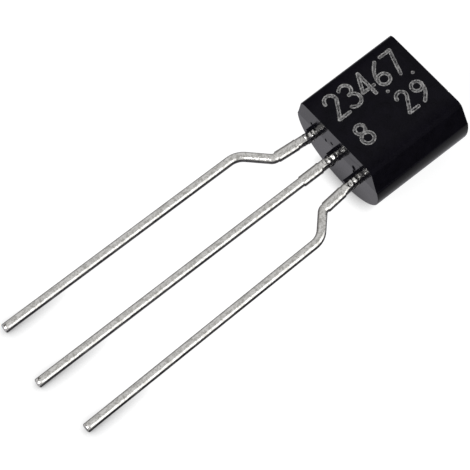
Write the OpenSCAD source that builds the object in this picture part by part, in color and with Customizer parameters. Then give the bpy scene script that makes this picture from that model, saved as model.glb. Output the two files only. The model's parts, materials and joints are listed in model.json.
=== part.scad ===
// Small three-lead transistor in a moulded D-shaped case. The outer leads are
// formed apart to twice the pitch at which they leave the case. Millimetres.
//
// Every piece is drawn standing up: x runs along the flat of the case, y goes
// from the flat (y = 0) into the case, and z = 0 is the end that the leads
// leave, with the case above it and the leads below. lying() then turns the
// part onto its back, as it rests on a table.

/* [Moulded case] */
// Widest part of the case, across its round back
body_w = 4.62; // [4.2:0.02:5.6]
// Height of the case, from the lead end to the top end
body_h = 4.4; // [4:0.05:5.4]
// Depth of the case, from the flat to the round back
body_d = 3.7; // [3.3:0.05:4.5]
// Width of the flat, between its sharp corners
flat_w = 4.0; // [3.4:0.05:4.2]
// Radius of the two long edges beside the flat
flat_corner_r = 0.28; // [0.05:0.01:0.4]
// Draft of the two end faces, in degrees each way from the parting line
end_draft = 2; // [0.5:0.5:6]
// Radius where the flat meets the end faces
flat_end_r = 0.03; // [0.02:0.01:0.2]
// Radius where the round back meets the end faces
back_end_r = 0.16; // [0.05:0.01:0.4]
// How far the front mould half is set in from the back one, at the parting line
mould_step = 0.02; // [0.005:0.005:0.05]
// Diameter of the ejector pin mark in the round back
ejector_d = 1.5; // [0.8:0.1:2]
// Depth of the ejector pin mark
ejector_depth = 0.05; // [0.02:0.01:0.1]
// Width of the broken moulding gate on the top end
gate_w = 0.9; // [0.4:0.1:1.4]
// Thickness of the broken moulding gate, behind the parting line
gate_t = 0.3; // [0.1:0.05:0.5]
// How far the broken moulding gate stands proud
gate_proud = 0.05; // [0.02:0.01:0.1]

/* [Leads] */
// Depth from the flat to the front of the leads, where the mould halves meet
lead_front = 1.12; // [0.9:0.02:1.4]
// Thickness of the strip that the leads are stamped from
lead_t = 0.36; // [0.3:0.02:0.5]
// Width of a lead
lead_w = 0.36; // [0.3:0.02:0.42]
// Length of the neck between the case and the wide stretch
neck_len = 0.8; // [0.5:0.05:1]
// Width of the wide stretch, where the strip's cross bar was cut away
stub_w = 0.44; // [0.44:0.01:0.6]
// Length of the wide stretch
stub_len = 0.82; // [0.5:0.02:1]
// Length of the shoulders at both ends of the wide stretch
stub_taper = 0.05; // [0.03:0.01:0.15]
// Distance between neighbouring leads where they leave the case
lead_pitch = 1.27; // [1.2:0.01:1.4]
// Reach of the emitter lead below the case
emitter_reach = 13.6; // [10:0.1:17]
// Reach of the collector lead below the case
collector_reach = 14.0; // [10:0.1:17]
// Reach of the base lead below the case
base_reach = 13.75; // [10:0.05:17]

/* [Forming of the outer leads] */
// Distance between neighbouring leads at their tips
formed_pitch = 2.54; // [2.3:0.01:2.8]
// Distance below the case at which the outer leads start to lean outward
lean_start = 0.3; // [0.1:0.05:0.5]
// Outward lean of the neck and the wide stretch, in degrees
lean_angle = 5.5; // [1:0.5:10]
// Straight stretch between the lower shoulder and the near bend
joggle_gap = 0.02; // [0.01:0.01:0.2]
// Angle of the joggles to the case, in degrees
joggle_angle = 47; // [35:0.5:60]
// Radius of the lean and of the near bend, along the middle of the lead
near_bend_r = 0.28; // [0.25:0.01:0.5]
// Radius of the far bend, along the middle of the lead
far_bend_r = 0.8; // [0.3:0.05:1]
// Outward lean of the emitter lead below its joggle, in degrees
emitter_splay = 0.5; // [0:0.1:2]
// Outward lean of the base lead below its joggle, in degrees
base_splay = 1.3; // [0:0.1:2]

/* [Lead frame inside the case] */
// Moulding between the lead end of the case and the paddle and posts
root_cover = 1.7; // [1.4:0.05:1.9]
// Moulding between the paddle and the top end of the case
top_cover = 0.7; // [0.5:0.05:1]
// Moulding between the posts and the sides of the case
side_cover = 0.4; // [0.3:0.01:0.5]
// Gap between the paddle and the posts
frame_gap = 0.34; // [0.25:0.01:0.5]
// Length of the post at the top of each outer lead
post_len = 1.25; // [1:0.05:1.6]
// Corner radius of the paddle and the posts
pad_corner_r = 0.12; // [0.05:0.01:0.2]
// Diameter of the holes that lock the lead frame into the moulding
lock_hole_d = 0.4; // [0.2:0.05:0.5]
// Metal between a lock hole and the nearest end of its paddle or post
lock_hole_rim = 0.1; // [0.08:0.01:0.2]

/* [Die and bond wires] */
// Side of the square silicon die
die_w = 0.46; // [0.36:0.02:0.7]
// Thickness of the die
die_t = 0.18; // [0.1:0.01:0.25]
// Thickness of the layer that bonds the die to the paddle
attach_t = 0.03; // [0.02:0.005:0.06]
// How far the bonding layer spreads past the die on each side
attach_margin = 0.05; // [0.02:0.01:0.1]
// Distance of each wire from the middle of the die, both ways
bond_offset = 0.1; // [0.06:0.01:0.12]
// Distance of each stitch from the inner edge of its post
stitch_inset = 0.16; // [0.1:0.01:0.2]
// Diameter of the ball on the die and of the stitch on the post
bond_d = 0.12; // [0.09:0.01:0.16]
// Diameter of the gold bond wires
wire_d = 0.04; // [0.03:0.005:0.06]
// Height of each wire loop above the straight line between its ends
loop_h = 0.4; // [0.25:0.01:0.5]

/* [Hidden] */
$fn = 96;

// Case: one arc makes the back, and the front mould half narrows from it to the flat
back_r = body_w / 2;
back_y = body_d - back_r;
parting_x = sqrt(pow(back_r, 2) - pow(back_y - lead_front, 2)) - mould_step;
flat_rise = lead_front * tan(end_draft);
back_rise = (body_d - lead_front) * tan(end_draft);

// Leads, and the strip's back face
lead_back = lead_front + lead_t;

// Paddle and posts: the posts widen outward from the inner edges of the outer leads
paddle_len = body_h - root_cover - top_cover;
post_edge = lead_pitch - lead_w / 2;
post_w = parting_x - side_cover - post_edge;
post_x = post_edge + post_w / 2;
paddle_w = 2 * (post_edge - frame_gap);
hole_inset = lock_hole_rim + lock_hole_d / 2;
die_z = root_cover + (paddle_len - lock_hole_rim - lock_hole_d) / 2;

// Wire loops, seen along z: [distance from the middle of the die, height in front of the leads]
die_top = attach_t + die_t;
bond_h = wire_d;
stitch_x = post_edge + stitch_inset;
loop_start = [bond_offset, die_top + bond_h / 2];
loop_end = [stitch_x, bond_h / 2];
loop_half = norm(loop_end - loop_start) / 2;
loop_r = (pow(loop_h, 2) + pow(loop_half, 2)) / (2 * loop_h);
loop_up = [loop_start[1] - loop_end[1], loop_end[0] - loop_start[0]] / (2 * loop_half);
loop_centre = (loop_start + loop_end) / 2 - loop_up * (loop_r - loop_h);

// Resting pose: the part lies on the tip of its longest lead and the lead-end edge of its back
longest_reach = max(emitter_reach, collector_reach, base_reach);
edge_y = body_d - back_end_r;
edge_z = (edge_y - lead_front) * tan(end_draft) + back_end_r / cos(end_draft);
tip_to_edge = [edge_y - lead_back, edge_z + longest_reach];
rest_angle = atan2(tip_to_edge[0], tip_to_edge[1]) + asin(back_end_r / norm(tip_to_edge));
rest_lift = longest_reach * sin(rest_angle) + lead_back * cos(rest_angle);
rest_near = lead_front * sin(rest_angle) - longest_reach * cos(rest_angle);
rest_far = (body_h - edge_z) * cos(rest_angle) + edge_y * sin(rest_angle) + back_end_r;

function unit(v) = v / norm(v);

// Turns a standing piece onto its back, with the origin under the middle of the part
module lying() {
    translate([0, -(rest_near + rest_far) / 2, rest_lift])
        rotate([rest_angle - 90, 0, 0])
            children();
}

// Convex outline with its own radius at each corner
module rounded_polygon(corners, radii) {
    n = len(corners);
    back = [for (i = [0:n - 1]) unit(corners[(i + n - 1) % n] - corners[i])];
    ahead = [for (i = [0:n - 1]) unit(corners[(i + 1) % n] - corners[i])];
    half = [for (i = [0:n - 1]) acos(back[i] * ahead[i]) / 2];
    polygon([for (i = [0:n - 1]) each
        radii[i] == 0
            ? [corners[i]]
            : [corners[i] + back[i] * radii[i] / tan(half[i]),
               corners[i] + ahead[i] * radii[i] / tan(half[i])]]);
    for (i = [0:n - 1])
        if (radii[i] > 0)
            translate(corners[i] + unit(back[i] + ahead[i]) * radii[i] / sin(half[i]))
                circle(r = radii[i]);
}

// Case seen from its end: the tapered front half, and the arc behind the parting line
module case_plan() {
    rounded_polygon(
        [[-flat_w / 2, 0], [flat_w / 2, 0], [parting_x, lead_front], [-parting_x, lead_front]],
        [flat_corner_r, flat_corner_r, 0, 0]);
    intersection() {
        translate([0, back_y]) circle(r = back_r);
        translate([-body_w, lead_front]) square([2 * body_w, body_d]);
    }
}

// Case seen from its side: both ends fall away from the parting line
module case_side() {
    rounded_polygon(
        [[0, flat_rise], [lead_front, 0], [body_d, back_rise],
         [body_d, body_h - back_rise], [lead_front, body_h], [0, body_h - flat_rise]],
        [flat_end_r, 0, back_end_r, back_end_r, 0, flat_end_r]);
}

// What the broken gate leaves on the top end, behind the parting line
module gate_stump() {
    translate([-gate_w / 2, lead_front, body_h - back_rise])
        cube([gate_w, gate_t, back_rise + gate_proud]);
}

module ejector_mark() {
    translate([0, body_d - ejector_depth, body_h / 2])
        rotate([-90, 0, 0])
            cylinder(d = ejector_d, h = body_d);
}

// The moulding before anything is taken out for what it holds
module case_solid() {
    difference() {
        union() {
            intersection() {
                linear_extrude(body_h) case_plan();
                rotate([90, 0, 90])
                    linear_extrude(2 * body_w, center = true) case_side();
            }
            gate_stump();
        }
        ejector_mark();
    }
}

// A straight stretch of lead, heading down the page; what follows starts at its end
module run(length, width) {
    translate([-width / 2, -length]) square([width, length]);
    translate([0, -length]) children();
}

// A shoulder from one width to another; what follows starts at its end
module shoulder(length, from, to) {
    polygon([[-from / 2, 0], [-to / 2, -length], [to / 2, -length], [from / 2, 0]]);
    translate([0, -length]) children();
}

// A bend, to the right where angle is positive; what follows starts at its end,
// and the ring is cut in the frame of what follows, so the two meet exactly
module bend(angle, radius, width) {
    side = 2 * radius + width;
    intersection() {
        translate([sign(angle) * radius, 0])
            difference() {
                circle(r = radius + width / 2);
                circle(r = radius - width / 2);
            }
        translate([-side, -side]) square([2 * side, side]);
        bend_end(angle, radius)
            translate([-side, 0]) square([2 * side, side]);
    }
    bend_end(angle, radius)
        children();
}

module bend_end(angle, radius) {
    translate([sign(angle) * radius * (1 - cos(angle)), -radius * sin(abs(angle))])
        rotate(angle)
            children();
}

// The wide stretch that every lead has where the cross bar was cut away
module cross_bar_stub() {
    shoulder(stub_taper, lead_w, stub_w)
        run(stub_len, stub_w)
            shoulder(stub_taper, stub_w, lead_w)
                children();
}

module straight_lead(reach) {
    run(neck_len, lead_w)
        cross_bar_stub()
            run(reach - neck_len - stub_len - 2 * stub_taper, lead_w);
}

// Outer lead: it leans outward from its neck on, then a joggle takes it out to
// the formed pitch. The slanted stretch of the joggle and the long stretch below
// it are what closes the distance across and down, given the bends.
module joggled_lead(reach, splay) {
    leaning = neck_len - lean_start + stub_len + 2 * stub_taper + joggle_gap;
    across = formed_pitch - lead_pitch - leaning * sin(lean_angle)
        - near_bend_r * (1 - cos(joggle_angle)) - far_bend_r * (cos(splay) - cos(joggle_angle));
    down = reach - lean_start - leaning * cos(lean_angle)
        - near_bend_r * sin(joggle_angle) - far_bend_r * (sin(joggle_angle) - sin(splay));
    unbend = joggle_angle - splay;
    slanted = (across * cos(splay) - down * sin(splay)) / sin(unbend);
    long = (down * sin(joggle_angle) - across * cos(joggle_angle)) / sin(unbend);
    run(lean_start, lead_w)
        bend(lean_angle, near_bend_r, lead_w)
            run(neck_len - lean_start, lead_w)
                cross_bar_stub()
                    run(joggle_gap, lead_w)
                        bend(joggle_angle - lean_angle, near_bend_r, lead_w)
                            run(slanted, lead_w)
                                bend(-unbend, far_bend_r, lead_w)
                                    run(long, lead_w);
}

// The part of the lead frame inside the case: a neck, and a paddle or post with
// its lock hole. corner_r holds the radii from the bottom left corner, anticlockwise.
module pad(neck_x, pad_x, width, length, corner_r, hole_z) {
    difference() {
        union() {
            translate([neck_x - lead_w / 2, 0]) square([lead_w, root_cover + pad_corner_r]);
            translate([pad_x - width / 2, root_cover])
                rounded_polygon([[0, 0], [width, 0], [width, length], [0, length]], corner_r);
        }
        translate([pad_x, hole_z]) circle(d = lock_hole_d);
    }
}

module outer_outline(reach, splay) {
    translate([lead_pitch, 0]) joggled_lead(reach, splay);
    pad(lead_pitch, post_x, post_w, post_len,
        [0, pad_corner_r, pad_corner_r, pad_corner_r], root_cover + hole_inset);
}

module collector_outline() {
    straight_lead(collector_reach);
    pad(0, 0, paddle_w, paddle_len,
        [pad_corner_r, pad_corner_r, pad_corner_r, pad_corner_r], root_cover + paddle_len - hole_inset);
}

// Stamps an outline out of the strip and stands it in the plane of the leads
module stamped() {
    translate([0, lead_back, 0])
        rotate([90, 0, 0])
            linear_extrude(lead_t) children();
}

module emitter_solid() {
    stamped() mirror([1, 0]) outer_outline(emitter_reach, emitter_splay);
}

module collector_solid() {
    stamped() collector_outline();
}

module base_solid() {
    stamped() outer_outline(base_reach, base_splay);
}

// A square chip of the die's stack, its back face this far in front of the leads
module chip(side, thickness, height) {
    translate([-side / 2, lead_front - height - thickness, die_z - side / 2])
        cube([side, thickness, side]);
}

module attach_solid() {
    chip(die_w + 2 * attach_margin, attach_t, 0);
}

module die_solid() {
    chip(die_w, die_t, attach_t);
}

// A flattened bond that stands this far in front of the leads
module bond(x, height) {
    translate([x, lead_front - height, 0])
        rotate([90, 0, 0])
            cylinder(d = bond_d, h = bond_h);
}

// One wire, from its ball on the die to its stitch on the post at positive x
module wire_loop() {
    first = atan2(loop_end[1] - loop_centre[1], loop_end[0] - loop_centre[0]);
    last = atan2(loop_start[1] - loop_centre[1], loop_start[0] - loop_centre[0]);
    bond(bond_offset, die_top);
    bond(stitch_x, 0);
    translate([loop_centre[0], lead_front - loop_centre[1], 0])
        mirror([0, 1, 0])
            rotate_extrude(angle = last - first, start = first)
                translate([loop_r, 0])
                    circle(d = wire_d);
}

module emitter_wire_solid() {
    translate([0, 0, die_z - bond_offset]) mirror([1, 0, 0]) wire_loop();
}

module base_wire_solid() {
    translate([0, 0, die_z + bond_offset]) wire_loop();
}

// The nodes

module epoxy_body() {
    color("#17151a")
        lying()
            difference() {
                case_solid();
                emitter_solid();
                collector_solid();
                base_solid();
                attach_solid();
                die_solid();
                emitter_wire_solid();
                base_wire_solid();
            }
}

module emitter_lead() {
    color("#c8c5bb") lying() emitter_solid();
}

module collector_lead() {
    color("#c8c5bb") lying() collector_solid();
}

module base_lead() {
    color("#c8c5bb") lying() base_solid();
}

module silicon_die() {
    color("#4c505c") lying() die_solid();
}

module die_attach() {
    color("#9a9a94") lying() attach_solid();
}

module emitter_bond_wire() {
    color("#d9a93c") lying() emitter_wire_solid();
}

module base_bond_wire() {
    color("#d9a93c") lying() base_wire_solid();
}

epoxy_body();
emitter_lead();
collector_lead();
base_lead();
silicon_die();
die_attach();
emitter_bond_wire();
base_bond_wire();
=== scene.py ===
# %% [markdown]
# # A small transistor with three formed leads
#
# The part is a black moulded case about 4.5 mm across, on three long leads of
# tinned metal. A lead frame, a silicon die and two gold wires are sealed inside it.
# The engineering model gives every piece its place and size. This script gives
# them the look of the real ones: worn mould surfaces, rounded edges, tin plate,
# and the ragged resin where the leads leave the case.
#
# The first cell loads that model, the frame. Its pieces lie as the part rests
# on a table: on the round back of the case, with the flat up and tilted.

# %% The frame
import json
import math

import bmesh
import bpy
from mathutils import Matrix, Vector
from mathutils.kdtree import KDTree


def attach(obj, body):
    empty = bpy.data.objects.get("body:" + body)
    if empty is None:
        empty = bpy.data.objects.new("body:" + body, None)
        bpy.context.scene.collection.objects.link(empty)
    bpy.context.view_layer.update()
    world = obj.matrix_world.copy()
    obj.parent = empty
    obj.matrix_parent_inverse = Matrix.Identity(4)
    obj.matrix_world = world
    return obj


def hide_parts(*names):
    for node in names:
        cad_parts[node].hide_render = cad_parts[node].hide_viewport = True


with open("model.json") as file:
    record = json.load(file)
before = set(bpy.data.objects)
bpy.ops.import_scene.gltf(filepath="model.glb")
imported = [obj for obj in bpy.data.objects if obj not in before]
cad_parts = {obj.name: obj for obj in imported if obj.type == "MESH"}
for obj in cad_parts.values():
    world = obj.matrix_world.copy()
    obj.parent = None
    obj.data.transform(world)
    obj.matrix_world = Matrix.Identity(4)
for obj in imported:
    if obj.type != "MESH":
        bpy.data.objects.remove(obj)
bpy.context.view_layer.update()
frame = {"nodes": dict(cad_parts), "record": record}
MM = 0.001
print("frame nodes:", ", ".join(sorted(frame["nodes"])))

# %% [markdown]
# ## Standing sizes out of a lying model
#
# It is easier to model the part standing on its leads: x across the flat,
# y from the flat into the case, and z up from the end that the leads leave.
# The record states two mounts, and their axes are two of those directions.
# So each vertex of the frame can be measured along them, and one matrix
# carries a finished piece from the standing pose to the lying one.

# %% Standing axes and the measured sizes
mounts = {m["name"]: m for m in frame["record"]["mounts"]}
flat_centre = Vector(mounts["marked_flat"]["pos_m"])
into_case = -Vector(mounts["marked_flat"]["axis"])
up_case = -Vector(mounts["board_leads"]["axis"])


def spans(node):
    """Lowest and highest standing coordinate of a CAD node, from the flat's centre."""
    places = [v.co - flat_centre for v in frame["nodes"][node].data.vertices]
    standing = [Vector((p.x, p.dot(into_case), p.dot(up_case))) for p in places]
    low = Vector(min(p[i] for p in standing) for i in range(3))
    high = Vector(max(p[i] for p in standing) for i in range(3))
    return low, high


case_low, case_high = spans("epoxy_body")
emitter_low, _ = spans("emitter_lead")
collector_low, collector_high = spans("collector_lead")

CASE_H = -2 * case_low.z
CASE_W = case_high.x - case_low.x
CASE_D = case_high.y
LEAD_FRONT = collector_low.y
LEAD_T = collector_high.y - collector_low.y
LEAD_MID = LEAD_FRONT + LEAD_T / 2
EMITTER_REACH = -CASE_H / 2 - emitter_low.z
COLLECTOR_REACH = -CASE_H / 2 - collector_low.z
print(f"case {CASE_W / MM:.2f} x {CASE_D / MM:.2f} x {CASE_H / MM:.2f} mm,"
      f" leads {LEAD_T / MM:.2f} mm thick, {LEAD_FRONT / MM:.2f} mm behind the flat")

case_tilt = math.atan2(up_case.z, up_case.y)
LYING = (Matrix.Translation(flat_centre)
         @ Matrix.Rotation(case_tilt - math.pi / 2, 4, "X")
         @ Matrix.Translation((0, 0, -CASE_H / 2)))
print(f"the flat is tilted by {math.degrees(case_tilt):.2f} degrees")

# %% [markdown]
# ## The camera
#
# A long lens from above and from the side, so that the flat, the lead end and
# the right side of the case all show. It is set by the point that it looks at,
# its direction, its distance and a slight roll.

# %% The camera
CAMERA_TARGET = Vector((0.27, -0.41, 2.0)) * MM
CAMERA_DISTANCE = 111.1 * MM
CAMERA_AZIMUTH = math.radians(48.52)
CAMERA_ELEVATION = math.radians(57.28)
CAMERA_ROLL = math.radians(3.19)
SENSOR_W = 36.0
FOCAL_LENGTH = 234.3

bpy.ops.object.camera_add()
camera = bpy.context.active_object
camera.name = "camera"
camera.data.sensor_width = SENSOR_W
camera.data.lens = FOCAL_LENGTH
camera.data.clip_start = 1 * MM
camera.data.clip_end = 2.0
towards_camera = Vector((math.sin(CAMERA_AZIMUTH) * math.cos(CAMERA_ELEVATION),
                         -math.cos(CAMERA_AZIMUTH) * math.cos(CAMERA_ELEVATION),
                         math.sin(CAMERA_ELEVATION)))
camera.location = CAMERA_TARGET + towards_camera * CAMERA_DISTANCE
camera.rotation_mode = "QUATERNION"
level = towards_camera.to_track_quat("Z", "Y")
camera.rotation_quaternion = level @ Matrix.Rotation(CAMERA_ROLL, 3, "Z").to_quaternion()
bpy.context.scene.camera = camera
print("camera at", [round(c / MM, 2) for c in camera.location], "mm")

# %% [markdown]
# ## Helpers for modelling by hand
#
# Every piece below starts as a primitive and is shaped in edit mode. An operator
# acts on whatever is selected, so small helpers do the selecting: one selects a
# single object, one opens it for editing, and one picks vertices, edges or faces
# by a test on their place. The part is tiny, and bisect would snap to vertices up to a
# tenth of a millimetre away, so every cut states a far smaller threshold.

# %% Selecting and editing
FINE = 1e-8
UPRIGHT = 0.9
DRILL_LEN = 1 * MM


def select_only(piece):
    bpy.ops.object.select_all(action="DESELECT")
    piece.select_set(True)
    bpy.context.view_layer.objects.active = piece


def start_editing(piece, select="DESELECT"):
    select_only(piece)
    bpy.ops.object.mode_set(mode="EDIT")
    bpy.ops.mesh.select_mode(type="VERT")
    bpy.ops.mesh.select_all(action=select)


def stop_editing():
    bpy.ops.object.mode_set(mode="OBJECT")


def pick_all():
    bpy.ops.mesh.select_all(action="SELECT")


def pick(piece, kind, wanted):
    """Selects only those verts, edges or faces of the edited piece that are wanted."""
    bpy.ops.mesh.select_all(action="DESELECT")
    bpy.ops.mesh.select_mode(type={"verts": "VERT", "edges": "EDGE", "faces": "FACE"}[kind])
    edited = bmesh.from_edit_mesh(piece.data)
    chosen = [element for element in getattr(edited, kind) if wanted(element)]
    for element in chosen:
        element.select = True
    edited.select_flush_mode()
    bmesh.update_edit_mesh(piece.data)
    return len(chosen)


def cut_away(place, normal):
    """Cuts the edited piece by a plane, drops the normal's side, and fills the cut."""
    pick_all()
    bpy.ops.mesh.bisect(plane_co=place, plane_no=normal, use_fill=True, clear_outer=True,
                        threshold=FINE)


def in_plane(edge, place, normal):
    """Whether an edge lies in the plane through a place."""
    return all(abs((v.co - place).dot(normal)) < 10 * FINE for v in edge.verts)


def extrude(x=0, y=0, z=0):
    bpy.ops.mesh.extrude_region_move(TRANSFORM_OT_translate={"value": (x, y, z)})


def apply_modifier(piece, kind, **settings):
    modifier = piece.modifiers.new(kind.lower(), kind)
    for name, value in settings.items():
        setattr(modifier, name, value)
    select_only(piece)
    bpy.ops.object.modifier_apply(modifier=modifier.name)


def combine(piece, other, operation):
    """Joins another piece to this one, or cuts it out, and removes the other."""
    apply_modifier(piece, "BOOLEAN", object=other, operation=operation, solver="MANIFOLD")
    bpy.data.objects.remove(other)


def drill(piece, place, diameter, steps):
    """Cuts a round hole along y, as far as the drill reaches."""
    bpy.ops.mesh.primitive_cylinder_add(vertices=steps, radius=diameter / 2, depth=DRILL_LEN,
                                        location=place, rotation=(math.pi / 2, 0, 0))
    combine(piece, bpy.context.active_object, "DIFFERENCE")


def add_block(middle, size):
    bpy.ops.mesh.primitive_cube_add(size=1, location=middle, scale=size)
    bpy.ops.object.transform_apply()
    return bpy.context.active_object


def smooth(piece, angle):
    select_only(piece)
    bpy.ops.object.shade_smooth_by_angle(angle=math.radians(angle))


def lay_down(piece, node=None):
    """Turns a standing piece into the lying pose, and gives it to the frame."""
    piece.matrix_world = LYING @ piece.matrix_world
    select_only(piece)
    bpy.ops.object.transform_apply()
    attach(piece, "root")
    if node:
        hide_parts(node)
    corners = [Vector(c) / MM for c in piece.bound_box]
    low, high = corners[0], corners[6]
    print(f"{piece.name}: {len(piece.data.polygons)} faces,",
          "box", [round(c, 3) for c in low], [round(c, 3) for c in high])


# %% [markdown]
# ## The moulded case
#
# The real case is pressed from black resin in a two-part mould. The back half is
# a round trough and the front half a shallow tray with sloping sides. The halves
# meet in the plane of the leads' front faces, never quite in line, so a
# hair-thin step runs along both sides. Both ends slope a little, to let
# the case leave the mould.
#
# It could be an extruded outline, but a cylinder gives the round back at once:
# it is cut at the parting plane, and the cut face is drawn forward to the flat.

# %% The block of the case
ARC_STEPS = 192
FLAT_W = 4.0 * MM
END_DRAFT = math.radians(2)
STEP = 0.02 * MM
STEP_DEPTH = 0.01 * MM
SPARE = 0.5 * MM
NEAR = 0.002 * MM

BACK_R = CASE_W / 2
BACK_Y = CASE_D - BACK_R
PARTING_X = math.sqrt(BACK_R ** 2 - (BACK_Y - LEAD_FRONT) ** 2)

bpy.ops.mesh.primitive_cylinder_add(vertices=ARC_STEPS, radius=BACK_R, depth=CASE_H + 2 * SPARE,
                                    location=(0, BACK_Y, CASE_H / 2))
case = bpy.context.active_object
case.name = "case"
bpy.ops.object.transform_apply()
start_editing(case)
cut_away((0, LEAD_FRONT, 0), (0, -1, 0))
pick(case, "faces", lambda f: abs(f.calc_center_median().y - LEAD_FRONT) < NEAR)
extrude(y=-STEP_DEPTH)
bpy.ops.transform.resize(value=((PARTING_X - STEP) / PARTING_X, 1, 1))
extrude(y=STEP_DEPTH - LEAD_FRONT)
bpy.ops.transform.resize(value=(FLAT_W / 2 / (PARTING_X - STEP), 1, 1))
for end_z, up in ((0, -1), (CASE_H, 1)):
    for lean in (-1, 1):
        cut_away((0, LEAD_FRONT, end_z), (0, lean * math.sin(END_DRAFT), up * math.cos(END_DRAFT)))
stop_editing()
print(f"block of the case: {len(case.data.polygons)} faces")

# %% [markdown]
# The edges come next. The long edges of the flat are the roundest, and a bevel
# makes them. They turn by less than a right angle, so the bevel's width is a share
# of its radius. The edges round both ends are small, and grow towards the back: a
# weighted bevel makes those.

# %% Rounded edges of the case
FLAT_EDGE_R = 0.28 * MM
FLAT_EDGE_SHARE = 0.8
END_EDGE_R = 0.03 * MM
BACK_END_EDGE_R = 0.12 * MM


def along_flat(edge):
    return (all(v.co.y < NEAR and abs(v.co.x) > FLAT_W / 2 - NEAR for v in edge.verts)
            and edge.verts[0].co.x * edge.verts[1].co.x > 0)


def round_an_end(edge):
    leans = [abs(f.normal.z) > UPRIGHT for f in edge.link_faces]
    return len(leans) == 2 and leans[0] != leans[1]


start_editing(case)
print("long edges of the flat:", pick(case, "edges", along_flat))
bpy.ops.mesh.bevel(offset=FLAT_EDGE_R * FLAT_EDGE_SHARE, segments=12, affect="EDGES")
print("edges round the ends:", pick(case, "edges", round_an_end))
edited = bmesh.from_edit_mesh(case.data)
weight = edited.edges.layers.float.new("bevel_weight_edge")
for edge in edited.edges:
    if edge.select:
        middle = sum((v.co for v in edge.verts), Vector()) / 2
        depth = max(0, (middle.y - BACK_Y) / BACK_R)
        edge[weight] = (END_EDGE_R + (BACK_END_EDGE_R - END_EDGE_R) * depth ** 3) / BACK_END_EDGE_R
stop_editing()
apply_modifier(case, "BEVEL", width=BACK_END_EDGE_R, segments=5, limit_method="WEIGHT",
               use_clamp_overlap=False)

# %% [markdown]
# Two marks of the moulding are on the sides that don't show at first: a round
# hollow where a pin pushed the case out of the mould, and the broken stub of the
# gate, where the resin flowed in. The stub is torn and not cut, so its top is
# subdivided and its vertices are scattered a little.

# %% The ejector mark and the gate
EJECTOR_D = 1.5 * MM
EJECTOR_DEPTH = 0.05 * MM
GATE_W = 0.9 * MM
GATE_T = 0.3 * MM
GATE_PROUD = 0.05 * MM
GATE_ROOT = 0.3 * MM
GATE_SAG = 0.02 * MM
GATE_ROUGH = 0.016 * MM

drill(case, (0, CASE_D - EJECTOR_DEPTH + DRILL_LEN / 2, CASE_H / 2), EJECTOR_D, steps=64)
gate = add_block((0, LEAD_FRONT + GATE_T / 2, CASE_H + (GATE_PROUD - GATE_ROOT) / 2),
                 (GATE_W, GATE_T, GATE_PROUD + GATE_ROOT))
start_editing(gate)
pick(gate, "faces", lambda f: f.normal.z > UPRIGHT)
bpy.ops.mesh.subdivide(number_cuts=9)
pick(gate, "verts", lambda v: v.co.z > CASE_H + GATE_PROUD - NEAR
     and abs(v.co.x) < GATE_W / 2 - NEAR)
bpy.ops.transform.translate(value=(0, 0, -GATE_SAG))
bpy.ops.transform.vertex_random(offset=GATE_ROUGH, seed=5)
stop_editing()
combine(case, gate, "UNION")

# %% [markdown]
# Where the mould closes on the leads, the end face has small torn pits along
# the parting line. A flaw chipped out of the flat's top edge is made in
# the same way: a rough ball, squashed and pushed about at random, is cut out
# of the piece. Later on the same helper dents the tips of the leads.

# %% Pits and a chip
# Places and radii are in millimetres. A pit is (x, y, radius across, radius through).
# The roughness is that of a ball with a radius of 1 mm, before it is squashed.
BALL_ROUGH = 0.12 * MM
PIT_DEPTH = 0.12
PITS = ((-1.48, 0.88, 0.06, 0.1), (-0.64, 1.03, 0.05, 0.1), (-0.3, 0.85, 0.08, 0.09),
        (1.0, 0.98, 0.1, 0.16), (1.02, 1.3, 0.08, 0.22))
CHIP = (1.27, 0.0, 4.4)
CHIP_SIZE = (0.07, 0.1, 0.075)


def chip_out(piece, place, size, seed):
    """Cuts out a rough ball, with a radius for each direction."""
    bpy.ops.mesh.primitive_ico_sphere_add(subdivisions=3, radius=MM, location=Vector(place) * MM)
    ball = bpy.context.active_object
    start_editing(ball, "SELECT")
    bpy.ops.transform.vertex_random(offset=BALL_ROUGH, seed=seed)
    bpy.ops.transform.resize(value=size)
    stop_editing()
    combine(piece, ball, "DIFFERENCE")


for seed, (x, y, across, through) in enumerate(PITS):
    chip_out(case, (x, y, 0), (across, through, PIT_DEPTH), seed)
chip_out(case, CHIP, CHIP_SIZE, seed=8)

# %% [markdown]
# Resin also creeps out between the mould and the left edge of each lead, and
# sets there as flash: a thin torn skin that stands on the end face and covers
# part of the neck. It is a narrow block with scattered vertices, joined to the
# case.

# %% Flash on the necks
# Each piece of flash is (x, reach).
FLASH_W = 0.11 * MM
FLASH_T = 0.3 * MM
FLASH_PROUD = 0.07 * MM
FLASH_ROOT = 0.08 * MM
FLASH_ROUGH = 0.012 * MM
FLASHES = ((-1.42 * MM, 0.26 * MM), (-0.15 * MM, 0.34 * MM), (1.12 * MM, 0.6 * MM))

for seed, (x, reach) in enumerate(FLASHES):
    flash = add_block((x, LEAD_FRONT - FLASH_PROUD + FLASH_T / 2, (FLASH_ROOT - reach) / 2),
                      (FLASH_W, FLASH_T, FLASH_ROOT + reach))
    start_editing(flash, "SELECT")
    bpy.ops.mesh.subdivide(number_cuts=3)
    bpy.ops.transform.vertex_random(offset=FLASH_ROUGH, seed=seed)
    stop_editing()
    combine(case, flash, "UNION")

# %% Finish the case
smooth(case, angle=32)
apply_modifier(case, "WEIGHTED_NORMAL", keep_sharp=True, weight=80)
lay_down(case, "epoxy_body")

# %% [markdown]
# ## The leads
#
# The three leads are stamped out of one sheet, tinned, moulded in, and then the
# outer two are formed outward to the spacing of a board. A bar once held the leads
# together a little below the case, and where it was cut away they are wider.
#
# Each one is drawn in one go from its tip: a rounded square is extruded forward,
# spun round each bend, and resized where the lead widens. A curve with a bevel
# would do for a round wire, but not for a flat strip with two widths. The rings
# that this leaves also tell, later on, how far along the lead a point lies.

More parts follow.
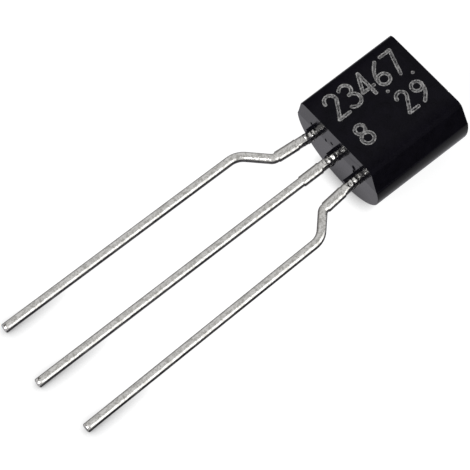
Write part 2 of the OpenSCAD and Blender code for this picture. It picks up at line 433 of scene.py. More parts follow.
# %% Sizes of the leads
LEAD_W = 0.36 * MM
CORNER_R = 0.15 * MM
NECK_CORNER_R = 0.1 * MM
NECK_LEN = 0.8 * MM
STUB_W = 0.44 * MM
STUB_LEN = 0.82 * MM
STUB_TAPER = 0.05 * MM
LEAD_PITCH = 1.27 * MM
FORMED_PITCH = 2.54 * MM
LEAN_START = 0.3 * MM
LEAN_ANGLE = math.radians(5.5)
JOGGLE_GAP = 0.02 * MM
JOGGLE_ANGLE = math.radians(47)
NEAR_BEND_R = 0.28 * MM
FAR_BEND_R = 0.8 * MM
EMITTER_SPLAY = math.radians(0.5)
BASE_SPLAY = math.radians(1.3)
BASE_REACH = 13.75 * MM
ROOT_COVER = 1.7 * MM
ROOT_FINE = 0.3 * MM
PLATE_OVERLAP = 0.1 * MM
TIP_CHAMFER = 0.03 * MM


# %% Walking a section along the lead
class Walk:
    """Draws a lead from its tip: forward, round a bend, or to another width."""

    def __init__(self, name, x, z, heading):
        self.heading = heading
        self.place = Vector((x, LEAD_MID, z))
        self.rings = []
        bpy.ops.mesh.primitive_plane_add(size=1)
        self.lead = bpy.context.active_object
        self.lead.name = name
        self.lead.scale = (LEAD_W, LEAD_T, 1)
        bpy.ops.object.transform_apply(location=False, rotation=False, scale=True)
        start_editing(self.lead, "SELECT")
        bpy.ops.mesh.bevel(offset=CORNER_R, segments=6, affect="VERTICES")
        bpy.ops.mesh.delete(type="ONLY_FACE")
        pick(self.lead, "edges",
             lambda e: min(abs(e.verts[0].co[i] - e.verts[1].co[i]) for i in (0, 1)) < FINE)
        bpy.ops.mesh.subdivide(number_cuts=4)
        pick_all()
        bpy.ops.transform.rotate(value=-heading, orient_axis="Y", center_override=(0, 0, 0))
        bpy.ops.transform.translate(value=self.place)
        self.note_ring()

    def ahead(self):
        return Vector((math.sin(self.heading), 0, math.cos(self.heading)))

    def right(self):
        return Vector((math.cos(self.heading), 0, -math.sin(self.heading)))

    def note_ring(self):
        self.rings.append((self.place.copy(), self.heading))

    def forward(self, length, steps=1):
        stride = self.ahead() * (length / steps)
        for _ in range(steps):
            extrude(*stride)
            self.place += stride
            self.note_ring()
        return self

    def bend(self, turn, radius, steps=14):
        """Turns towards +x where turn is positive. Spin itself turns the other way."""
        centre = self.place + self.right() * math.copysign(radius, turn)
        bpy.ops.mesh.spin(steps=steps, angle=-turn, center=centre, axis=(0, 1, 0))
        start, arm = self.heading, self.place - centre
        for step in range(1, steps + 1):
            self.place = centre + Matrix.Rotation(turn * step / steps, 3, "Y") @ arm
            self.heading = start + turn * step / steps
            self.note_ring()
        return self

    def resize(self, across, through=1):
        """Resizes the open end, across the lead and through its thickness."""
        bpy.ops.transform.resize(value=(across, through, across), center_override=self.place)
        return self

    def sharpen(self, share):
        """Draws the four corners of the open end in, and spreads the flats between."""
        across = self.right() * (LEAD_W / 2)
        through = Vector((0, LEAD_T / 2, 0))
        flat = LEAD_W / 2 - CORNER_R
        on_flat, on_corner = flat * 0.9, CORNER_R * 1.01
        spread = (LEAD_W / 2 - share * CORNER_R) / flat
        for side in (1, -1):
            for middle in (across * side, through * side):
                centre = self.place + middle
                pick(self.lead, "verts", lambda v: (v.co - centre).length < on_flat)
                bpy.ops.transform.resize(value=(spread,) * 3, center_override=centre)
            for face in (1, -1):
                corner = self.place + across * side + through * face
                pick(self.lead, "verts", lambda v: (v.co - corner).length < on_corner)
                bpy.ops.transform.resize(value=(share,) * 3, center_override=corner)
        pick(self.lead, "edges", lambda e: in_plane(e, self.place, self.ahead()))
        return self

    def close(self):
        """Fills both ends and turns all faces outward."""
        ends = bmesh.from_edit_mesh(self.lead.data)
        middle = (min(v.co.z for v in ends.verts) + max(v.co.z for v in ends.verts)) / 2
        for low in (True, False):
            pick(self.lead, "edges",
                 lambda e: e.is_boundary and (e.verts[0].co.z < middle) == low)
            bpy.ops.mesh.edge_face_add()
        pick_all()
        bpy.ops.mesh.normals_make_consistent()
        stop_editing()
        return self


# %% [markdown]
# The straight run below the bends isn't a size of the stamping. It follows from
# the spacing at the tips and the bends, so it is solved here: one equation says
# how far the lead gets across, the other how far down.

# %% The three leads
# The last number of a run is its count of rings. They are closest at the necks.
def cut_tip(walk):
    """The tip, where the cutter went through, is a little smaller than the lead above it."""
    full = LEAD_W / (LEAD_W - 2 * TIP_CHAMFER)
    return walk.resize(1 / full, 1 / full).forward(TIP_CHAMFER).resize(full, full)


def wide_stretch(walk):
    """The stretch that the cross bar left wide, in fine steps between two tapers."""
    walk.forward(STUB_TAPER).resize(STUB_W / LEAD_W).forward(STUB_LEN, 20)
    return walk.forward(STUB_TAPER).resize(LEAD_W / STUB_W)


def end_in_case(walk):
    """The hidden end: a few fine steps for the lumps, then up to the plate."""
    return walk.forward(ROOT_FINE, 12).forward(ROOT_COVER - ROOT_FINE + PLATE_OVERLAP).close()


def joggled_lead(name, side, reach, splay):
    leaning = NECK_LEN - LEAN_START + STUB_LEN + 2 * STUB_TAPER + JOGGLE_GAP
    across = (FORMED_PITCH - LEAD_PITCH - leaning * math.sin(LEAN_ANGLE)
              - NEAR_BEND_R * (1 - math.cos(JOGGLE_ANGLE))
              - FAR_BEND_R * (math.cos(splay) - math.cos(JOGGLE_ANGLE)))
    down = (reach - LEAN_START - leaning * math.cos(LEAN_ANGLE)
            - NEAR_BEND_R * math.sin(JOGGLE_ANGLE)
            - FAR_BEND_R * (math.sin(JOGGLE_ANGLE) - math.sin(splay)))
    unbend = JOGGLE_ANGLE - splay
    slanted = (across * math.cos(splay) - down * math.sin(splay)) / math.sin(unbend)
    long = (down * math.sin(JOGGLE_ANGLE) - across * math.cos(JOGGLE_ANGLE)) / math.sin(unbend)
    print(f"{name}: {long / MM:.3f} mm to the bend, {slanted / MM:.3f} mm slanted")
    walk = cut_tip(Walk(name, side * FORMED_PITCH, -reach, -side * splay))
    walk.forward(long - TIP_CHAMFER, 60).bend(-side * unbend, FAR_BEND_R, 24)
    walk.forward(slanted, 6).bend(side * (JOGGLE_ANGLE - LEAN_ANGLE), NEAR_BEND_R)
    wide_stretch(walk.forward(JOGGLE_GAP)).sharpen(NECK_CORNER_R / CORNER_R)
    walk.forward(NECK_LEN - LEAN_START, 20).bend(side * LEAN_ANGLE, NEAR_BEND_R, 2)
    return end_in_case(walk.forward(LEAN_START, 12))


def straight_lead(name, reach):
    walk = cut_tip(Walk(name, 0, -reach, 0))
    walk.forward(reach - NECK_LEN - STUB_LEN - 2 * STUB_TAPER - TIP_CHAMFER, 70)
    wide_stretch(walk).sharpen(NECK_CORNER_R / CORNER_R)
    return end_in_case(walk.forward(NECK_LEN, 32))


walks = {
    "emitter_lead": joggled_lead("lead_emitter", -1, EMITTER_REACH, EMITTER_SPLAY),
    "collector_lead": straight_lead("lead_collector", COLLECTOR_REACH),
    "base_lead": joggled_lead("lead_base", 1, BASE_REACH, BASE_SPLAY),
}

# %% [markdown]
# Inside the case each lead ends in a plate: a post for a wire on the outer two,
# and on the middle one the paddle that carries the die. A round hole near the top
# lets the resin through, which locks the plate in. None of it shows, but the
# piece stands for the whole stamping, so it has them.

# %% Posts and paddle
POST_LEN = 1.25 * MM
TOP_COVER = 0.7 * MM
SIDE_COVER = 0.4 * MM
FRAME_GAP = 0.34 * MM
PAD_CORNER_R = 0.12 * MM
LOCK_HOLE_D = 0.4 * MM
LOCK_HOLE_INSET = 0.3 * MM
HAIR = 0.004 * MM
POST_EDGE = LEAD_PITCH - LEAD_W / 2
POST_W = PARTING_X - STEP - SIDE_COVER - POST_EDGE


def add_plate(lead, x, width, length):
    """Adds a plate, a hair smaller than the strip, so that no two faces share a plane."""
    plate = add_block((x, LEAD_MID, ROOT_COVER + length / 2),
                      (width - HAIR, LEAD_T - HAIR, length - HAIR))
    start_editing(plate)
    pick(plate, "edges", lambda e: abs(e.verts[0].co.y - e.verts[1].co.y) > LEAD_T / 2)
    bpy.ops.mesh.bevel(offset=PAD_CORNER_R, segments=6, affect="EDGES")
    stop_editing()
    hole = (x, LEAD_MID, ROOT_COVER + length - LOCK_HOLE_INSET)
    drill(plate, hole, LOCK_HOLE_D, steps=32)
    combine(lead, plate, "UNION")


post_x = POST_EDGE + POST_W / 2
add_plate(walks["emitter_lead"].lead, -post_x, POST_W, POST_LEN)
add_plate(walks["collector_lead"].lead, 0, 2 * (POST_EDGE - FRAME_GAP),
          CASE_H - ROOT_COVER - TOP_COVER)
add_plate(walks["base_lead"].lead, post_x, POST_W, POST_LEN)

# %% [markdown]
# Close to the case the tin is never smooth. Resin bleeds out round the lead as
# the mould closes, it is blasted off again, and the tin runs over what is left, in
# small lumps. A Displace modifier with a cloud texture makes them, and a
# vertex group keeps them to the neck. The same cloud could be a bump in the material,
# but from so near the outline has to be ragged too.
#
# At the other end, the cutter that sheared the leads off pinched a dent into each tip.

# %% Lumps at the necks, dents at the tips
DENT_LEFT = 0.06
DENT_UP = 0.12
DENT_SIZE = (0.05, 0.07, 0.06)
LUMP_SIZE = 0.14 * MM
LUMP_HEIGHT = 0.115 * MM
LUMP_FADE = 1.6
LUMPS_INSIDE = 0.5 * MM
LUMPS_END = {"emitter_lead": 0.72 * MM, "collector_lead": 0.98 * MM, "base_lead": 0.8 * MM}


def lump_share(z, end):
    """1 at the root, falling to 0 at the end of the lumps."""
    return max(0.0, min(1.0, LUMP_FADE * (1 + z / end)))


for order, (cad_node, walk) in enumerate(walks.items()):
    lead = walk.lead
    tip = walk.rings[0][0] / MM
    dent = (tip.x - DENT_LEFT, LEAD_FRONT / MM, tip.z + DENT_UP)
    chip_out(lead, dent, DENT_SIZE, seed=order)
    lumpy = lead.vertex_groups.new(name="lumpy")
    for v in lead.data.vertices:
        if -LUMPS_END[cad_node] < v.co.z < LUMPS_INSIDE:
            lumpy.add([v.index], lump_share(v.co.z, LUMPS_END[cad_node]), "ADD")
    cloud = bpy.data.textures.new(f"lumps_{order}", "CLOUDS")
    cloud.noise_scale = LUMP_SIZE
    cloud.noise_depth = 2
    cloud.contrast = 1.6
    apply_modifier(lead, "DISPLACE", texture=cloud, texture_coords="LOCAL", vertex_group="lumpy",
                   strength=LUMP_HEIGHT, mid_level=0.5)

# %% [markdown]
# A pattern in plain coordinates would run straight on where the lead bends. So
# each vertex gets an attribute that says where it lies in the lead's own section, in
# millimetres: across from the middle, back from the front, and how far
# below the case along the lead. The materials read it.

# %% Where each vertex lies in its lead
def write_section(walk):
    along = [0.0]
    for (here, _), (after, _) in zip(walk.rings, walk.rings[1:]):
        along.append(along[-1] + (after - here).length)
    root = next(d for d, (p, _) in zip(along, walk.rings) if p.z > -FINE)
    tree = KDTree(len(walk.rings))
    for number, (place, _) in enumerate(walk.rings):
        tree.insert(place, number)
    tree.balance()
    mesh = walk.lead.data
    section = mesh.attributes.new("section", "FLOAT_VECTOR", "POINT")
    for v in mesh.vertices:
        _, number, _ = tree.find((v.co.x, LEAD_MID, v.co.z))
        place, heading = walk.rings[number]
        offset = v.co - place
        across = offset.x * math.cos(heading) - offset.z * math.sin(heading)
        below = root - along[number]
        section.data[v.index].vector = Vector((across, v.co.y - LEAD_FRONT, below)) / MM


for cad_node, walk in walks.items():
    write_section(walk)
    smooth(walk.lead, angle=50)
    lay_down(walk.lead, cad_node)

# %% [markdown]
# ## The marks on the flat
#
# The flat carries laser marks: the beam melts the resin to a pale grey groove
# with a raised rim and round ends. The rim is painted brighter than the middle,
# as painted highlight on top of that grey.
# Here they are plain digits in two rows, read up the case, and two small dots.
#
# A font would give letters without that rim. So a pen is made that works like the
# walk along a lead: half the groove's outline is spun into a round end, the whole
# outline is extruded along a line or spun round a curve, and the stroke ends as it
# began. A dot is a stroke that ends where it starts. The beam never runs quite
# true, so at last every vertex is moved a little at random.

# %% The pen
STROKE_W = 0.165 * MM
RIM_H = 0.012 * MM
TREMOR = 0.012 * MM
LINE_STEP = 0.06
CURVE_STEP = 12
END_STEPS = 8
RING_STEPS = 20
GROOVE = ((0.0, 0.15), (0.3, 0.2), (0.58, 0.95), (0.7, 1.0), (0.86, 0.6), (1.0, -0.9))


class Pen:
    """Draws one stroke on the flat. Headings and turns are in degrees, from +x towards +z."""

    drawn = 0

    def __init__(self, x, z, heading):
        self.place = Vector((x, 0, z)) * MM
        self.heading = math.radians(heading)

    def ahead(self):
        return Vector((math.cos(self.heading), 0, math.sin(self.heading)))

    def left(self):
        return Vector((-math.sin(self.heading), 0, math.cos(self.heading)))

    def outline(self, points):
        """Draws the groove's outline through points of (how far left, how high)."""
        corners = [self.place + self.left() * (out * STROKE_W / 2) + Vector((0, -height * RIM_H, 0))
                   for out, height in points]
        bpy.ops.mesh.primitive_plane_add(size=STROKE_W)
        self.stroke = bpy.context.active_object
        start_editing(self.stroke, "SELECT")
        bpy.ops.mesh.merge(type="CENTER")
        bpy.ops.transform.translate(value=corners[0])
        for here, after in zip(corners, corners[1:]):
            extrude(*(after - here))
        pick_all()

    def spin(self, turn, centre, steps):
        bpy.ops.mesh.spin(steps=steps, angle=-turn, center=centre, axis=(0, -1, 0))

    def start(self):
        """Spins the round end from half the outline, and selects the whole outline."""
        self.outline(GROOVE)
        self.spin(math.pi, self.place, END_STEPS)
        self.weld()
        pick(self.stroke, "edges", lambda e: in_plane(e, self.place, self.ahead()))
        return self

    def weld(self):
        pick_all()
        bpy.ops.mesh.remove_doubles(threshold=20 * FINE)

    def line(self, length):
        steps = max(1, round(length / LINE_STEP))
        for _ in range(steps):
            extrude(*(self.ahead() * length * MM / steps))
        self.place += self.ahead() * length * MM
        return self

    def curve(self, radius, turn):
        """Round a curve, to the left where turn is positive."""
        angle = math.radians(turn)
        centre = self.place + self.left() * math.copysign(radius * MM, turn)
        self.spin(angle, centre, max(2, round(abs(turn) / CURVE_STEP)))
        self.place = centre + Matrix.Rotation(-angle, 3, "Y") @ (self.place - centre)
        self.heading += angle
        return self

    def end(self):
        """Spins the round end from the left half of the outline."""
        pick(self.stroke, "edges", lambda e: in_plane(e, self.place, self.ahead()) and all(
            (v.co - self.place).dot(self.left()) > -FINE
            and (v.co - self.place).length < STROKE_W for v in e.verts))
        self.spin(-math.pi, self.place, END_STEPS)
        return self.finish()

    def ring(self, radius):
        """A small closed ring, spun from the whole outline."""
        self.outline([(-out, height) for out, height in reversed(GROOVE)] + list(GROOVE[1:]))
        self.spin(2 * math.pi, self.place + self.left() * radius * MM, RING_STEPS)
        return self.finish()

    def finish(self):
        """Closes the foot below the flat, and roughens the stroke."""
        self.weld()
        pick(self.stroke, "edges", lambda e: e.is_boundary)
        bpy.ops.mesh.fill()
        pick_all()
        bpy.ops.mesh.normals_make_consistent()
        Pen.drawn += 1
        bpy.ops.transform.vertex_random(offset=TREMOR, seed=Pen.drawn)
        stop_editing()
        return self.stroke


# %% The digits
# Each stroke starts at (across, up, heading), in a box as high as 1. A run is a
# length, or a (radius, turn). A bare radius in place of the runs is a closed ring.
DIGITS = {
    2: [((0, 0.76, 90), [(0.21, -211), 0.72]), ((0, 0.02, 0), [0.43])],
    3: [((0.17, 0.53, 0), [(0.21, 235)]), ((0.17, 0.53, 0), [(0.25, -235)])],
    4: [((0.32, 0, 90), [0.95]), ((0.32, 0.95, -115.5), [0.74]), ((0, 0.28, 0), [0.46])],
    6: [((0.42, 0.23, 90), 0.21), ((0, 0.23, 90), [(0.75, -45), 0.22])],
    7: [((0, 0.95, 0), [0.42]), ((0.42, 0.95, -107.5), [0.98])],
    8: [((0.45, 0.25, 90), 0.24), ((0.41, 0.71, 90), 0.2)],
    9: [((0.42, 0.72, 90), 0.21), ((0.42, 0.72, -90), [(0.75, -45), 0.22])],
}
ROWS = (((2, 0.62), (3, 1.34), (4, 1.98), (6, 2.7), (7, 3.4)), ((8, 0.7), (2, 2.72), (9, 3.42)))
ROW_FOOT = (-0.44, 1.04)
ROW_HEIGHT = (1.12, 0.98)
DOT_X = -0.2
DOTS_Z = (2.7, 3.9)


def draw_digit(digit, foot, z, size):
    """Draws a digit that reads up the case, its foot at x = foot."""
    drawn = []
    for (across, up, heading), runs in DIGITS[digit]:
        pen = Pen(foot - up * size, z + across * size, heading + 90)
        if isinstance(runs, float):
            drawn.append(pen.ring(runs * size))
            continue
        pen.start()
        for run in runs:
            if isinstance(run, tuple):
                pen.curve(run[0] * size, run[1])
            else:
                pen.line(run * size)
        drawn.append(pen.end())
    return drawn


strokes = []
for row, foot, size in zip(ROWS, ROW_FOOT, ROW_HEIGHT):
    for digit, z in row:
        strokes += draw_digit(digit, foot, z, size)
strokes += [Pen(DOT_X, z, 90).start().end() for z in DOTS_Z]
marks = strokes[0]
marks.name = "marking"
bpy.ops.object.select_all(action="DESELECT")
for stroke in strokes:
    stroke.select_set(True)
bpy.context.view_layer.objects.active = marks
bpy.ops.object.join()
height = marks.data.attributes.new("height", "FLOAT", "POINT")
for v in marks.data.vertices:
    height.data[v.index].value = -v.co.y / RIM_H
smooth(marks, angle=60)
lay_down(marks)

# %% [markdown]
# ## Building materials out of nodes
#
# Every finish below is made of nodes. A small helper adds one node with its
# values and links. The effects that several finishes share are node groups: grain,
# which is fine and coarse noise, and wear, which finds the edges.

# %% Helpers for nodes
def feed(tree, made, inputs):
    """Fills inputs, each with a value or with a link from another node's output."""
    for socket, value in inputs.items():
        if isinstance(value, bpy.types.NodeSocket):
            tree.links.new(value, made.inputs[socket])
        else:
            made.inputs[socket].default_value = value
    return made


def node(tree, kind, inputs=None, **settings):
    made = tree.nodes.new("ShaderNode" + kind)
    for name, value in settings.items():
        setattr(made, name, value)
    return feed(tree, made, inputs or {})


def maths(tree, operation, a, b=0.0, clamp=False):
    return node(tree, "Math", {0: a, 1: b}, operation=operation, use_clamp=clamp).outputs[0]


def times(tree, a, b):
    return maths(tree, "MULTIPLY", a, b)


def stretch(tree, value, low, high, to_low=0.0, to_high=1.0):
    """Maps low…high to to_low…to_high, and holds it there outside."""
    return node(tree, "MapRange", {"Value": value, "From Min": low, "From Max": high,
                                   "To Min": to_low, "To Max": to_high}).outputs["Result"]


def ramp(tree, value, stops):
    """Maps a value through stops of (position, level) with straight lines between."""
    made = node(tree, "ValToRGB", {"Fac": value})
    points = made.color_ramp.elements
    while len(points) < len(stops):
        points.new(0.5)
    for point, (position, level) in zip(points, stops):
        point.position = position
        point.color = (level, level, level, 1)
    return made.outputs["Color"]


def blend(tree, share, a, b):
    """Mixes two colours."""
    return node(tree, "Mix", {0: share, 6: a, 7: b}, data_type="RGBA").outputs[2]


def bump(tree, height, strength, distance, under=None):
    """A bump as deep as a distance in millimetres, on top of another if one is given."""
    inputs = {"Height": height, "Strength": strength, "Distance": distance * MM}
    if under is not None:
        inputs["Normal"] = under
    return node(tree, "Bump", inputs).outputs[0]


def new_group(name, inputs, outputs):
    """A node group with sockets, each (name, kind, default), and its two end nodes."""
    tree = bpy.data.node_groups.new(name, "ShaderNodeTree")
    for label, kind, default in inputs:
        socket = tree.interface.new_socket(label, in_out="INPUT", socket_type="NodeSocket" + kind)
        if default is not None:
            socket.default_value = default
    for label, kind in outputs:
        tree.interface.new_socket(label, in_out="OUTPUT", socket_type="NodeSocket" + kind)
    return tree, tree.nodes.new("NodeGroupInput").outputs, tree.nodes.new("NodeGroupOutput")


def use_group(tree, group, inputs):
    return node(tree, "Group", inputs, node_tree=group).outputs


def new_material(name):
    """A material with its shader, and the place on the piece in millimetres."""
    material = bpy.data.materials.new(name)
    material.use_nodes = True
    tree = material.node_tree
    place = node(tree, "TexCoord").outputs["Object"]
    place_mm = node(tree, "VectorMath", {0: place, 3: 1 / MM}, operation="SCALE").outputs[0]
    return material, tree, tree.nodes["Principled BSDF"], place_mm


# %% The shared effects
grain, taken, given = new_group(
    "grain",
    [("Place", "Vector", None), ("Fine", "Float", 30.0), ("Coarse", "Float", 4.0),
     ("Balance", "Float", 0.5)],
    [("Grain", "Float"), ("Patches", "Float"), ("Both", "Float")])
fine = node(grain, "TexNoise", {"Vector": taken["Place"], "Scale": taken["Fine"], "Detail": 3.0,
                                "Roughness": 0.6})
coarse = node(grain, "TexNoise", {"Vector": taken["Place"], "Scale": taken["Coarse"], "Detail": 4.0,
                                  "Roughness": 0.55, "Distortion": 0.4})
fine_part = times(grain, fine.outputs[0], taken["Balance"])
coarse_share = maths(grain, "SUBTRACT", 1.0, taken["Balance"])
coarse_part = times(grain, coarse.outputs[0], coarse_share)
feed(grain, given, {"Grain": stretch(grain, fine.outputs[0], 0.3, 0.7),
                    "Patches": stretch(grain, coarse.outputs[0], 0.35, 0.65),
                    "Both": maths(grain, "ADD", fine_part, coarse_part)})

wear, taken, given = new_group(
    "edge_wear",
    [("Place", "Vector", None), ("Radius", "Float", 0.05 * MM), ("Raggedness", "Float", 0.5)],
    [("Edges", "Float")])
softened = node(wear, "Bevel", {"Radius": taken["Radius"]}, samples=6).outputs[0]
sharp = node(wear, "NewGeometry").outputs["Normal"]
turned = node(wear, "VectorMath", {0: softened, 1: sharp}, operation="DOT_PRODUCT").outputs["Value"]
edge = stretch(wear, turned, 0.995, 0.9)
crumbs = node(wear, "TexNoise", {"Vector": taken["Place"], "Scale": 14.0, "Detail": 4.0}).outputs[0]
eaten = times(wear, stretch(wear, crumbs, 0.4, 0.6), taken["Raggedness"])
feed(wear, given, {"Edges": maths(wear, "SUBTRACT", edge, eaten, clamp=True)})
print("node groups:", ", ".join(g.name for g in bpy.data.node_groups))


def add_grain(tree, place, fine, coarse, balance):
    return use_group(tree, grain, {"Place": place, "Fine": fine, "Coarse": coarse,
                                   "Balance": balance})

# %% [markdown]
# ## The resin
#
# The case is epoxy filled with ground quartz, black with soot. It leaves the
# polished mould with a dull gloss: dark, faintly violet, mottled where the filler
# lies closer to the surface, and a little paler on the edges that rub in the tray.
# It reflects far less than polished plastic, so its specular level is low,
# and only a glancing view, as on the lead end, brings the table's light out. The
# worn edges round the ends get none of that glancing gloss, so they draw a dark
# outline there: painted shade.

# %% Black resin
resin, tree, shader, place_mm = new_material("black_resin")
skin = add_grain(tree, place_mm, fine=26.0, coarse=2.2, balance=0.5)
edges = use_group(tree, wear, {"Place": place_mm, "Raggedness": 0.55})["Edges"]
soot = blend(tree, skin["Patches"], (0.0009, 0.0007, 0.0017, 1), (0.0026, 0.0022, 0.0042, 1))
filler = blend(tree, times(tree, skin["Grain"], 0.35), soot, (0.010, 0.0094, 0.0125, 1))
rub = times(tree, edges, 0.5)
facing = node(tree, "LayerWeight", {"Blend": 0.5}).outputs["Facing"]
across = maths(tree, "ABSOLUTE", node(tree, "SeparateXYZ", {0: place_mm}).outputs["X"])
polish = stretch(tree, across, 1.4, 1.95, 0.07, 0.012)
grazing = ramp(tree, facing, ((0.5, 0.0), (0.7, 0.42), (0.745, 0.46), (0.81, 0.18)))
# Painted shade: the edges lose the glancing gloss, which draws a dark outline.
grazing = times(tree, grazing, stretch(tree, edges, 0.0, 0.3, 1.0, 0.0))
feed(tree, shader, {
    "Base Color": blend(tree, rub, filler, (0.012, 0.011, 0.016, 1)),
    "Roughness": stretch(tree, skin["Both"], 0.35, 0.65, 0.09, 0.2),
    "Specular IOR Level": maths(tree, "ADD", polish, grazing),
    "Normal": bump(tree, skin["Both"], 0.4, 0.003)})

# %% [markdown]
# ## The laser marks
#
# Where the beam went, the soot is burnt away and the quartz stands bare: grey and
# rough. The pen left the height of each vertex in an attribute, and the colour
# follows it: the raised rim is painted brightest, as painted highlight.

# %% Burnt marks
burnt, tree, shader, place_mm = new_material("burnt_mark")
rise = node(tree, "Attribute", attribute_name="height").outputs["Fac"]
skin = add_grain(tree, place_mm, fine=15.0, coarse=6.0, balance=0.6)
# The grey of bare quartz, painted brighter up the raised rim as painted highlight.
bare_grey_and_rim_highlight = times(tree, stretch(tree, rise, 0.15, 1.0, 0.2, 0.85),
            stretch(tree, skin["Both"], 0.4, 0.6, 0.1, 1.25))
feed(tree, shader, {
    "Base Color": blend(tree, bare_grey_and_rim_highlight, (0.035, 0.034, 0.036, 1), (0.32, 0.316, 0.312, 1)),
    "Roughness": stretch(tree, skin["Grain"], 0.0, 1.0, 0.6, 0.85),
    "Specular IOR Level": 0.2,
    "Normal": bump(tree, skin["Both"], 0.6, 0.006)})

# %% [markdown]
# ## The tin
#
# The leads are copper alloy under a few micrometres of tin. Rolled strip keeps
# fine lines along its length, the tin lies over them in a crystalline, slightly
# mottled coat. A dark band along the middle of each side is painted shade, for the
# shaded floor that the side mirrors, and the left corners are painted darker as
# painted shade too. At the neck the tin is lumpy, with dark resin baked between the
# lumps, and the neck is painted dark towards both sides: partly that resin, partly
# painted shade. Every hollow that an occlusion node finds is painted dark, as
# painted shade.
#
# The pattern has to follow the bends, so it reads the section attribute in place
# of plain coordinates: its third part is the way along the lead.

# %% Tin plate
tin, tree, shader, _ = new_material("tin_plate")
section = node(tree, "Attribute", attribute_name="section").outputs["Vector"]
across, back, below = node(tree, "SeparateXYZ", {0: section}).outputs
rolled = node(tree, "Mapping", {"Vector": section, "Scale": (1.0, 1.0, 0.12)},
              vector_type="POINT").outputs[0]
streaks = add_grain(tree, rolled, fine=34.0, coarse=9.0, balance=0.5)
crystals = add_grain(tree, section, fine=14.0, coarse=5.0, balance=0.55)
neck = stretch(tree, below, 0.75, 0.45)
dull = blend(tree, stretch(tree, crystals["Both"], 0.42, 0.54),
             (0.54, 0.53, 0.5, 1), (1.0, 0.985, 0.96, 1))
lined = blend(tree, times(tree, streaks["Patches"], 0.4), dull, (0.7, 0.685, 0.655, 1))
# Painted shade: a dark band along the middle of each side, for the shaded floor that the side
# mirrors.
from_line = maths(tree, "SUBTRACT", back, stretch(tree, below, 0.5, 0.75, -0.1, 0.065))
band = times(tree, stretch(tree, from_line, 0.0, 0.02), stretch(tree, back, 0.22, 0.25, 1.0, 0.0))
painted_side_shade_band = times(tree, band, stretch(tree, maths(tree, "ABSOLUTE", across), 0.13, 0.155))
painted_side_shade = times(tree, painted_side_shade_band, stretch(tree, streaks["Both"], 0.3, 0.5, 0.8, 1.0))
# Dark towards both sides of the neck: partly baked resin, partly painted shade.
patches = node(tree, "TexNoise", {"Vector": section, "Scale": 7.0, "Detail": 3.0}).outputs[0]
from_middle = maths(tree, "ABSOLUTE", maths(tree, "SUBTRACT", across, 0.04))
outward = maths(tree, "ADD", patches, times(tree, from_middle, 2.2))
neck_resin_and_painted_shade = times(tree, neck, stretch(tree, outward, 0.68, 0.74))
# Painted shade: every hollow that the occlusion node finds is made dark.
open_sky = node(tree, "AmbientOcclusion", {"Distance": 0.06 * MM}, samples=8).outputs["AO"]
painted_hollow_shade = stretch(tree, open_sky, 0.5, 0.85, 1.0, 0.0)
dark = maths(tree, "MAXIMUM", maths(tree, "MAXIMUM", painted_side_shade, neck_resin_and_painted_shade), painted_hollow_shade)
# Painted shade: the left corner of each lead is made darker.
painted_left_corner_shade = blend(tree, stretch(tree, across, -0.07, -0.13), lined, (0.26, 0.25, 0.235, 1))
ridges = bump(tree, streaks["Both"], 0.5, 0.003)
# The near-black colour carries the baked resin and the painted shade of the side band, the neck's
# sides and the hollows.
feed(tree, shader, {
    "Base Color": blend(tree, dark, painted_left_corner_shade, (0.009, 0.008, 0.011, 1)),
    "Metallic": maths(tree, "SUBTRACT", 1.0, dark),
    "Specular IOR Level": 0.15,
    "Roughness": stretch(tree, crystals["Both"], 0.3, 0.7, 0.14, 0.3),
    "Normal": bump(tree, crystals["Both"], 0.8, 0.01, under=ridges)})

# %% [markdown]
# ## Silicon, silver epoxy and gold
#
# These three are sealed in, but the model can be opened, so they have their own
# finishes: a diced silicon chip with pale metal pads, the grey paste that bonds
# it, and drawn gold wire. The chip's pads are a grid of squares, made from the
# place on the die alone.

# %% Inside the case
def grainy(name, sizes, dark, light, roughness, metallic, relief):
    """A finish whose colour, roughness and bumps all follow the grain."""
    material, tree, shader, place_mm = new_material(name)
    skin = add_grain(tree, place_mm, *sizes)
    feed(tree, shader, {
        "Base Color": blend(tree, skin["Both"], dark, light),
        "Roughness": stretch(tree, skin["Grain"], 0.0, 1.0, *roughness),
        "Metallic": metallic,
        "Normal": bump(tree, skin["Both"], *relief)})
    return material, tree, shader, place_mm


silicon, tree, shader, place_mm = grainy(
    "silicon", (60.0, 8.0, 0.4), (0.05, 0.055, 0.075, 1), (0.13, 0.14, 0.17, 1),
    roughness=(0.12, 0.3), metallic=0.4, relief=(0.2, 0.002))
ground_side = shader.inputs["Base Color"].links[0].from_socket
checks = node(tree, "TexChecker", {"Vector": place_mm, "Scale": 11.0}).outputs["Fac"]
pads = times(tree, checks, 0.4)
feed(tree, shader, {"Base Color": blend(tree, pads, ground_side, (0.55, 0.55, 0.52, 1))})

paste = grainy(
    "silver_paste", (45.0, 12.0, 0.6), (0.25, 0.25, 0.26, 1), (0.62, 0.61, 0.6, 1),
    roughness=(0.45, 0.7), metallic=0.6, relief=(0.6, 0.006))[0]
gold = grainy(
    "gold_wire", (90.0, 20.0, 0.5), (0.83, 0.56, 0.2, 1), (1.0, 0.78, 0.38, 1),
    roughness=(0.16, 0.32), metallic=1.0, relief=(0.3, 0.002))[0]

# %% Give each piece its finish
def give(piece, material):
    piece.data.materials.clear()
    piece.data.materials.append(material)


give(case, resin)
give(marks, burnt)
for walk in walks.values():
    give(walk.lead, tin)
for cad_node, material in (("silicon_die", silicon), ("die_attach", paste),
                           ("emitter_bond_wire", gold), ("base_bond_wire", gold)):
    for part_slot in frame["nodes"][cad_node].material_slots:
        part_slot.material = material

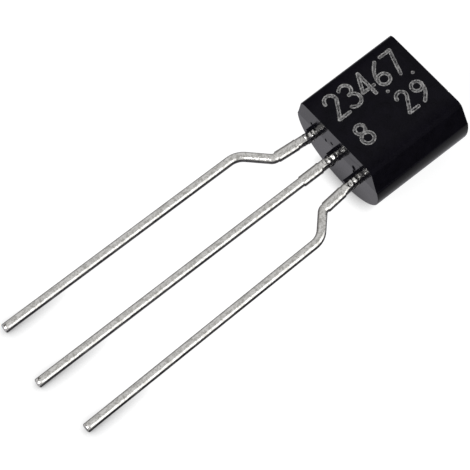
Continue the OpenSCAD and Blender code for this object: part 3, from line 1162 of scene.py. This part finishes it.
# %% [markdown]
# ## The table and the light
#
# The part lies on white paper. Paper under an even light would come out pale
# grey, so for the camera it also glows a little, just enough to be white, and the
# glow is held back close under the part, where an occlusion node says that it is
# covered, so the part keeps its contact shadow.
#
# Mirrored in the part the paper glows less, and faintly violet. On the right it
# doesn't glow at all, as if a dark card lay there: that is how bright metal is given a dark
# edge. A real card would show on the white paper, so the mirrored glow just ends
# where the card would start.

# %% The floor
FLOOR_SIZE = 0.8
GLOW = 0.88
MIRRORED_GLOW = 0.33
CARD_START, CARD_END = 1.6 * MM, 2.9 * MM

bpy.ops.mesh.primitive_plane_add(size=FLOOR_SIZE)
floor = bpy.context.active_object
floor.name = "floor"

paper = bpy.data.materials.new("white_paper")
paper.use_nodes = True
tree = paper.node_tree
tree.nodes.clear()
light_path = node(tree, "LightPath").outputs
covered = node(tree, "AmbientOcclusion", {"Distance": 0.5 * MM}, samples=8).outputs["AO"]
place = node(tree, "TexCoord").outputs["Object"]
beside_card = stretch(tree, node(tree, "SeparateXYZ", {0: place}).outputs["X"],
                      CARD_END, CARD_START)
seen = times(tree, times(tree, light_path["Is Camera Ray"], covered), GLOW)
in_mirrors = maths(tree, "ADD", light_path["Is Glossy Ray"], light_path["Is Transmission Ray"])
mirrored = times(tree, times(tree, in_mirrors, beside_card), times(tree, covered, MIRRORED_GLOW))
violet = blend(tree, in_mirrors, (1, 1, 1, 1), (0.94, 0.91, 1.0, 1))
glow = node(tree, "Emission", {"Color": violet, "Strength": maths(tree, "ADD", seen, mirrored)})
fibres = node(tree, "TexNoise", {"Vector": place, "Scale": 900.0}).outputs[0]
pale = blend(tree, fibres, (0.19, 0.19, 0.195, 1), (0.22, 0.22, 0.22, 1))
matte = node(tree, "BsdfDiffuse", {"Color": pale})
both = node(tree, "AddShader", {0: glow.outputs[0], 1: matte.outputs[0]})
node(tree, "OutputMaterial", {"Surface": both.outputs[0]})
floor.data.materials.append(paper)

# %% [markdown]
# A small bright box stands beyond the tips of the leads. Its shadows fall behind
# the case, and only what tilts towards it mirrors it: the lumps at the necks and
# the sheared tips glint, and the fronts of the leads stay grey. A large dim panel on
# the upper right is mirrored in the rounded right edges of the leads. The room
# itself is grey in mirrors, and white for the camera.

# %% The lights
ROOM = 0.57

world = bpy.data.worlds.new("room")
bpy.context.scene.world = world
world.use_nodes = True
tree = world.node_tree
straight = node(tree, "LightPath").outputs["Is Camera Ray"]
feed(tree, tree.nodes["Background"],
     {"Color": (1, 1, 1, 1), "Strength": stretch(tree, straight, 0.0, 1.0, ROOM, 1.0)})


def soft_box(name, direction, distance, size, radiance):
    """A square lamp that shines at the origin from a direction. Radiance 1 looks white."""
    towards = Vector(direction).normalized()
    bpy.ops.object.light_add(type="AREA", location=towards * distance)
    lamp = bpy.context.active_object
    lamp.name = name
    lamp.data.shape = "SQUARE"
    lamp.data.size = size
    lamp.data.energy = radiance * math.pi * size * size
    lamp.rotation_mode = "QUATERNION"
    lamp.rotation_quaternion = towards.to_track_quat("Z", "Y")


soft_box("low_box", (0.1, -0.79, 0.6), distance=0.25, size=0.1, radiance=16.0)
soft_box("right_panel", (0.8, 0.34, 0.5), distance=0.25, size=0.3, radiance=0.92)

bpy.context.scene.view_settings.view_transform = "Standard"

# %% Update the scene
bpy.context.view_layer.update()
